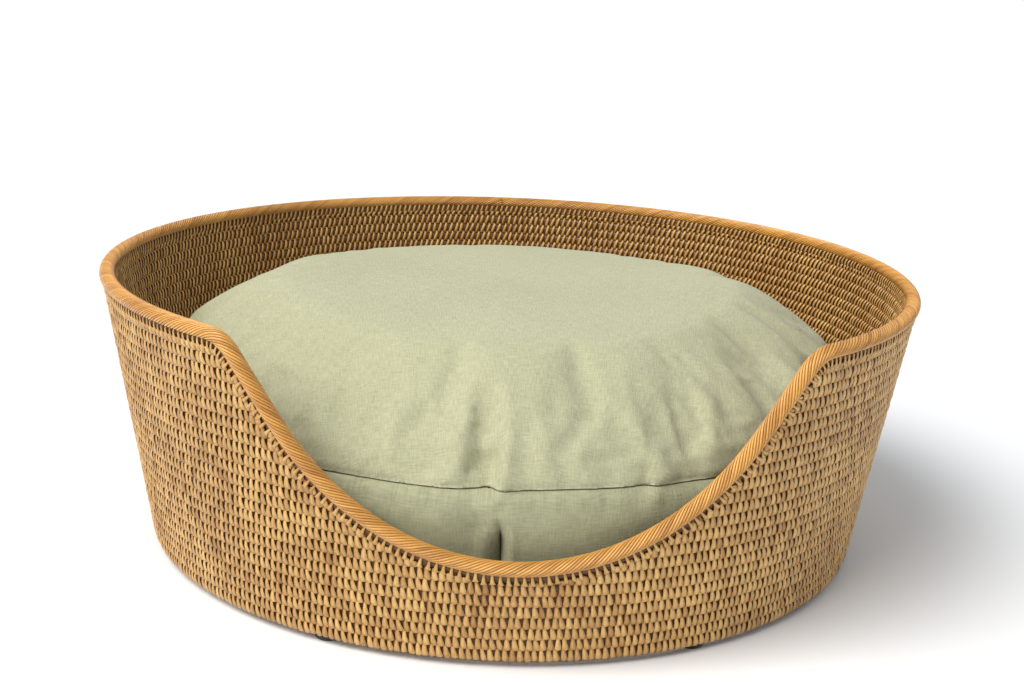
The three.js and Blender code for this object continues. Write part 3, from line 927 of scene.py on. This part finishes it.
def clear_of_basket(at):
    """Keeps the cloth inside the wall, over the hoop and flat under the zip."""
    dx, dy = at[:, 0], at[:, 1] - axis.y
    reach = reach_of(at)
    turned = np.abs(np.arctan2(dx, -dy))
    height = at[:, 2]
    limit = wall_radius(height - wall_low) - 0.0062
    low_corner = cushion_radius - corner_radius + np.sqrt(np.maximum(
        corner_radius ** 2 - np.maximum(under_height + corner_radius - height, 0) ** 2, 0))
    limit = np.where(height < under_height + corner_radius, np.minimum(limit, low_corner), limit)
    flat = (smooth_step(turned, math.pi - 0.72, math.pi - 0.62)
            * smooth_step(height, tape_low.z - 0.012, tape_low.z - 0.001)
            * (1 - smooth_step(height, tape_high.z + 0.001, tape_high.z + 0.012)))
    wanted = np.minimum(reach, limit)
    wanted = wanted + (cushion_radius - 0.0005 - wanted) * flat
    share = wanted / np.maximum(reach, 1e-6)
    at[:, 0], at[:, 1] = dx * share, axis.y + dy * share
    at[:, 2] = np.maximum(at[:, 2], under_height)
    return at


tape_low, tape_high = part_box("zip_tape")
move_points(cushion, at)
modify(cushion, "SMOOTH", factor=0.5, iterations=3)
pick(cushion, lambda x, y, z: (np.abs(np.arctan2(x, axis.y - y) + 0.04) < 0.08)
     & (z > 0.05) & (z < 0.116))
bpy.ops.mesh.subdivide(number_cuts=2)
take_up(cushion)
facing = points_of(cushion, "normal")
at = crease(points_of(cushion), facing, 0.0112, 0.0038, PINCH, 0.15, 1.1)
at = crease(at, facing, 0.0080, 0.0066, WIDENING, 0, 1.1)
move_points(cushion, clear_of_basket(at))

# -------- cushion: inner pad
# The loose filled pad inside the cover, in plain off-white cotton. It has the cover's shape
# without the folds, is a little smaller all round, and only shows when the zip is open.

pad_inset = 0.0135
modify(pad, "DECIMATE", ratio=0.3)
move_points(pad, clear_of_basket(points_of(pad)))
move_points(pad, points_of(pad) - points_of(pad, "normal") * pad_inset)
move_points(pad, crease(points_of(pad), points_of(pad, "normal"), 0.0145, 0.0180, PINCH, 0))


def make_plain_weave():
    """Over-and-under threads with slubs: thick and thin places that run along both threads."""
    n, given, out = effect("plain_weave", [
        ("Cloth", "Vector", (0, 0, 0)), ("Threads", "Float", 900.0), ("Slubs", "Float", 0.5),
        ("Pale", "Color", (0.5, 0.5, 0.35, 1)), ("Deep", "Color", (0.3, 0.32, 0.2, 1)),
    ])
    cloth = given["Cloth"]
    axes = n.add("SeparateXYZ", {0: cloth})
    wander = n.math("MULTIPLY", n.noise(cloth, 90.0, 2.0), 5.0)
    streaks, threads = [], []
    for name, stretch in (("X", (1, 0.10, 1)), ("Y", (0.10, 1, 1))):
        drawn = n.add("Mapping", {"Vector": cloth, "Scale": stretch}).outputs[0]
        streaks.append(n.noise(drawn, 1050.0, 4.0, Roughness=0.6))
        phase = n.math("MULTIPLY_ADD", axes.outputs[name], given["Threads"], wander)
        threads.append(n.math("SINE", phase))
    crossing = n.math("MULTIPLY", *threads)
    slub = n.add("MapRange", {0: n.math("ADD", *streaks), 1: 0.72, 2: 1.28}).outputs[0]
    patch = n.math("MULTIPLY", n.noise(cloth, 9.0, 3.0), 0.35)
    amount = n.math("ADD", n.math("MULTIPLY", slub, given["Slubs"]),
                    n.math("ADD", patch, n.math("MULTIPLY", crossing, 0.10)), clamp=True)
    n.join(out, {"Color": n.blend(amount, given["Pale"], given["Deep"]),
                 "Roughness": n.add("MapRange", {0: slub, 3: 0.82, 4: 0.97}).outputs[0],
                 "Height": n.math("MULTIPLY_ADD", crossing, 0.35, slub)})
    return n.tree


plain_weave = make_plain_weave()


def cloth_finish(name, pale, deep, threads, slubs, bump, sheen):
    material, n, surface = begin_finish(name)
    weave = n.add("Group", {"Cloth": n.note("cloth", "Vector"), "Threads": threads,
                            "Slubs": slubs, "Pale": pale, "Deep": deep}, node_tree=plain_weave)
    cover_with(n, surface, weave, 0.6, bump)
    surface.inputs["Sheen Weight"].default_value = sheen
    surface.inputs["Sheen Roughness"].default_value = 0.6
    return material


def round_cloth(piece):
    """A round panel: the cloth's threads run straight across it and down over its edge."""
    at = points_of(piece)
    dx, dy = at[:, 0], at[:, 1] - axis.y
    reach = np.maximum(reach_of(at), 1e-6)
    run = reach + 0.75 * np.abs(at[:, 2].max() - at[:, 2])
    note_places(piece, "cloth", dx / reach * run, dy / reach * run)


cotton = cloth_finish("pad_cotton", (0.78, 0.75, 0.68, 1), (0.62, 0.58, 0.5, 1), 5200.0, 0.4,
                      0.0002, 0.1)
round_cloth(pad)
smooth(pad)
finish_piece(pad, "cushion_pad", cotton, "cushion", ["cushion_inner_pad"])

# -------- cushion: linen cover
# A round top panel, a side band and a round bottom panel in sage linen. Where the top panel and the
# band meet, both edges are turned in at a plain seam, which shows as a narrow dark line between two
# soft edges; the band and the bottom panel meet without a turned seam.

bottom_reach = cushion_radius - corner_radius


top, band = duplicate(cushion, "top"), duplicate(cushion, "band")
for panel in (top, band):
    pick(panel)
    bpy.ops.mesh.bisect(plane_co=(0, 0, seam_height), plane_no=(0, 0, 1),
                        clear_inner=panel == top, clear_outer=panel == band)
take_up(band)
bottom = duplicate(band, "bottom")
pick(bottom, lambda x, y, z: (np.hypot(x, y - axis.y) > bottom_reach)
     | (z > under_height + 0.02))
bpy.ops.mesh.delete(type="VERT")
pick(band, lambda x, y, z: (np.hypot(x, y - axis.y) < bottom_reach - 0.001)
     & (z < under_height + 0.02))
bpy.ops.mesh.delete(type="VERT")
take_up(band)
seam_tuck = 0.0026


def roll_seam(piece, lift):
    """Pulls the cloth next to the seam in, turns its cut edge inwards and lets the seam wander."""
    at = points_of(piece)
    dx, dy = at[:, 0], at[:, 1] - axis.y
    near = np.exp(-((at[:, 2] - seam_height) / 0.0035) ** 2)
    share = 1 - near * seam_tuck / np.maximum(reach_of(at), 0.01)
    at[:, 0], at[:, 1] = dx * share, axis.y + dy * share
    move_points(piece, at)
    pick(piece, lambda x, y, z: np.abs(z - seam_height) < 1.5e-4)
    bpy.ops.transform.translate(value=(0, 0, lift * 0.28))
    for scale, rise in ((0.989, -lift * 0.28), (0.985, lift)):
        bpy.ops.mesh.extrude_region_move()
        bpy.ops.transform.resize(value=(scale, scale, 1),
                                 center_override=(axis.x, axis.y, seam_height))
        bpy.ops.transform.translate(value=(0, 0, rise))
    take_up(piece)
    at = points_of(piece)
    turn = np.arctan2(at[:, 0], axis.y - at[:, 1])
    near = np.exp(-((at[:, 2] - seam_height) / 0.02) ** 2)
    at[:, 2] += near * (0.0011 * np.sin(3 * turn + 0.6) + 0.0006 * np.sin(11 * turn) - 0.0048)
    move_points(piece, at)


roll_seam(top, 0.0020)
roll_seam(band, -0.0020)
linen = cloth_finish("sage_linen", (0.555, 0.54, 0.35, 1), (0.315, 0.318, 0.178, 1), 5400.0,
                     0.75, 0.00045, 0.15)
# The side band is the same linen drawn darker: painted shade, as the band sits under the overhang
# of the swollen top.
shaded_band_linen = cloth_finish("sage_band_linen_painted_shade", (0.455, 0.446, 0.282, 1),
                          (0.262, 0.266, 0.147, 1), 5400.0, 0.75, 0.00045, 0.12)
round_cloth(top)
at = points_of(band)
turn = np.arctan2(at[:, 0], axis.y - at[:, 1])
inwards = np.maximum(cushion_radius - reach_of(at), 0)
note_places(band, "cloth", turn * cushion_radius, at[:, 2] - 0.6 * inwards)
round_cloth(bottom)
for panel, name, node, cloth in (
        (top, "cushion_top_panel", "cushion_cover_top", linen),
        (band, "cushion_side_band", "cushion_cover_band", shaded_band_linen),
        (bottom, "cushion_bottom_panel", "cushion_cover_bottom", linen)):
    smooth(panel)
    finish_piece(panel, name, cloth, "cushion", [node])
discard(cushion)

# -------- zip: tape
# A closed zip sewn flat on the back of the side band, below the seam. Its two woven tapes lie edge
# to edge under the teeth, and two rows of short stitches hold them to the linen.

zip_middle = (tape_low.z + tape_high.z) / 2
tape_reach = tape_high.y - axis.y
tape_turn = 2 * math.asin((tape_high.x - tape_low.x) / 2 / tape_reach)
tape_length = tape_turn * tape_reach
tape_thickness = 0.0008
tape_steps = 96
sewn_offset = 0.0082


def behind(name, reach, span, steps=72):
    """A line round the back of the cushion, from right to left."""
    turns = [math.pi - span / 2 + span * step / steps for step in range(steps + 1)]
    return guide(name, [(reach * math.sin(t), axis.y - reach * math.cos(t), 0) for t in turns])


tape_line = behind("tape_line", tape_reach - tape_thickness / 2, tape_turn)
bpy.ops.mesh.primitive_cube_add(size=1, location=(tape_length / 2, 0, zip_middle))
tape = bpy.context.object
tape.scale = (tape_length, tape_thickness, tape_high.z - tape_low.z)
settle(tape)
for step in range(1, tape_steps):
    pick(tape)
    bpy.ops.mesh.bisect(plane_co=(tape_length * step / tape_steps, 0, 0), plane_no=(1, 0, 0))
for offset in (-0.0002, 0.0002, -0.0085, -0.0078, 0.0078, 0.0085):
    pick(tape)
    bpy.ops.mesh.bisect(plane_co=(0, 0, zip_middle + offset), plane_no=(0, 0, 1))
pick(tape, lambda x, y, z: (np.abs(z - zip_middle) < 0.0003) & (y < 0))
bpy.ops.transform.translate(value=(0, 0.0005, 0))
pick(tape, lambda x, y, z: (np.abs(np.abs(z - zip_middle) - sewn_offset) < 0.00045) & (y < 0))
bpy.ops.transform.translate(value=(0, 0.00018, 0))
take_up(tape)
at = points_of(tape)
note_places(tape, "cloth", at[:, 0], at[:, 2])
bend_along(tape, tape_line)
tape_cloth = cloth_finish("zip_tape_fabric", (0.33, 0.35, 0.215, 1), (0.235, 0.25, 0.15, 1),
                          7800.0, 0.35, 0.0002, 0.1)
finish_piece(tape, "zip_tape_pair", tape_cloth, "cushion", ["zip_tape"])

thread_pitch = 0.0030
bpy.ops.mesh.primitive_uv_sphere_add(segments=6, ring_count=4, radius=1,
                                     rotation=(0, math.pi / 2, 0))
thread = bpy.context.object
thread.scale = (0.0011, 0.00028, 0.00028)
settle(thread)
thread.location = (thread_pitch / 2, -tape_thickness / 2, zip_middle + sewn_offset)
settle(thread)
repeat(thread, int(tape_length / thread_pitch), (thread_pitch, 0, 0))
repeat(thread, 2, (0, 0, -2 * sewn_offset))
at = points_of(thread)
note_places(thread, "cloth", at[:, 0], at[:, 2])
bend_along(thread, tape_line)
smooth(thread)
sewing = cloth_finish("sewing_thread", (0.50, 0.50, 0.33, 1), (0.40, 0.41, 0.26, 1), 9000.0, 0.3,
                      0.0001, 0.3)
finish_piece(thread, "zip_sewing", sewing, "cushion")
discard(tape_line)

# -------- zip: teeth and stops
# Moulded plastic teeth, one row from each tape, that mesh down the middle. A metal stop is
# clamped on at each end of the chain.

tooth_pitch = 0.0015
chain_low, chain_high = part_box("zip_chain")
chain_depth = 0.0016
chain_outside = chain_high.y - axis.y
chain_reach = chain_outside - chain_depth / 2
chain_turn = 2 * math.asin((chain_high.x - chain_low.x) / 2 / chain_outside)
chain_line = behind("chain_line", chain_reach, chain_turn)
bpy.ops.mesh.primitive_cube_add(size=1)
tooth = bpy.context.object
tooth.scale = (0.00105, chain_depth, 0.0030)
settle(tooth)
resize(tooth, (0.72, 0.8, 1), lambda x, y, z: z < 0)
bpy.ops.mesh.select_all(action="SELECT")
bpy.ops.mesh.bevel(offset=0.0002, segments=1, affect="EDGES")
take_up(tooth)
tooth_count = int(chain_turn * chain_reach / tooth_pitch) - 1
other = duplicate(tooth, "other_row")
other.rotation_euler = (math.pi, 0, 0)
settle(other)
for row, shift, rise in ((tooth, 0.0, 0.0009), (other, tooth_pitch / 2, -0.0009)):
    row.location = (tooth_pitch / 2 + shift, 0, zip_middle + rise)
    settle(row)
    repeat(row, tooth_count, (tooth_pitch, 0, 0))
join_pieces([tooth, other])
bend_along(tooth, chain_line)
discard(chain_line)
teeth = worn_finish("zip_teeth", (0.22, 0.235, 0.14, 1), (0.30, 0.31, 0.21, 1), 0.35, 0.6, 1800)
finish_piece(tooth, "zip_teeth_rows", teeth, "cushion", ["zip_chain"])
brass = worn_finish("zip_metal", (0.50, 0.42, 0.26, 1), (0.26, 0.20, 0.11, 1), 0.22, 0.5, 2200,
                    metallic=1.0)


def soften_node(node, name, body):
    """A copy of a plain metal piece with its edges rounded over."""
    copy = duplicate(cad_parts[node], name)
    pick(copy)
    bpy.ops.mesh.remove_doubles(threshold=0.00002)
    bpy.ops.mesh.tris_convert_to_quads()
    modify(copy, "BEVEL", width=0.0003, segments=2, limit_method="ANGLE", angle_limit=0.7)
    smooth(copy, 0.7)
    finish_piece(copy, name, brass, body, [node])


soften_node("zip_stop_right", "zip_end_stop", "cushion")
soften_node("zip_stop_left", "zip_start_stop", "cushion")

# -------- zip: slider and pull
# A cast slider that runs along the teeth, and a pressed tab that hangs on its stud and swings.

soften_node("zip_slider", "zip_slider_body", "zip_slider")
soften_node("zip_pull", "zip_pull_tab", "zip_pull")

# -------- studio
# A wide white floor under a soft sky, with one large soft sun on the left, a small panel overhead
# that reaches the inside of the back wall, and the camera low in front.

bpy.ops.mesh.primitive_plane_add(size=240, location=(0, 0, 0))
ground = bpy.context.object
ground.name = "studio_floor"
paper, _, matt = begin_finish("white_paper")
matt.inputs["Base Color"].default_value = (0.90, 0.91, 0.92, 1)
matt.inputs["Roughness"].default_value = 0.9
matt.inputs["Specular IOR Level"].default_value = 0.2
ground.data.materials.append(paper)

room = bpy.data.worlds.new("white_room")
room.use_nodes = True
sky = room.node_tree.nodes["Background"]
sky.inputs["Color"].default_value = (0.91, 0.955, 1, 1)
sky.inputs["Strength"].default_value = 0.54
bpy.context.scene.world = room
bpy.context.scene.view_settings.view_transform = "Standard"


def hang_light(name, kind, energy, place, target):
    light = bpy.data.lights.new(name, kind)
    light.energy = energy
    lamp = bpy.data.objects.new(name, light)
    bpy.context.scene.collection.objects.link(lamp)
    lamp.location = place
    lamp.rotation_euler = (Vector(target) - Vector(place)).to_track_quat("-Z", "Y").to_euler()
    return light


sun = hang_light("sun", "SUN", 2.8, (-1.7, -0.95, 2.2), (0, 0, 0))
sun.angle = 0.85
sun.color = (1, 0.98, 0.95)
hang_light("overhead", "AREA", 4, (-0.35, -0.40, 1.25), (0.05, 0.30, 0.15)).size = 0.6

lens = bpy.data.cameras.new("camera")
lens.lens = 51.04
lens.sensor_width = 36
camera = bpy.data.objects.new("camera", lens)
bpy.context.scene.collection.objects.link(camera)
bpy.context.scene.camera = camera
aim_height = 0.108
distance = 1.1997
around, above = math.radians(-2.21), math.radians(16.51)
back = Vector((math.sin(around) * math.cos(above), -math.cos(around) * math.cos(above),
               math.sin(above)))
right = (-back).cross(Vector((0, 0, 1))).normalized()
up = right.cross(-back)
yaw, pitch, roll = (math.radians(angle) for angle in (0.153, 1.796, 2.29))
ahead = (-back + right * math.tan(yaw) + up * math.tan(pitch)).normalized()
right = ahead.cross(up).normalized()
up = right.cross(ahead)
tilted_right = right * math.cos(roll) + up * math.sin(roll)
tilted_up = up * math.cos(roll) - right * math.sin(roll)
camera.matrix_world = Matrix.Translation(axis + Vector((0, 0, aim_height)) + back * distance) @ (
    Matrix((tilted_right, tilted_up, -ahead)).transposed().to_4x4())
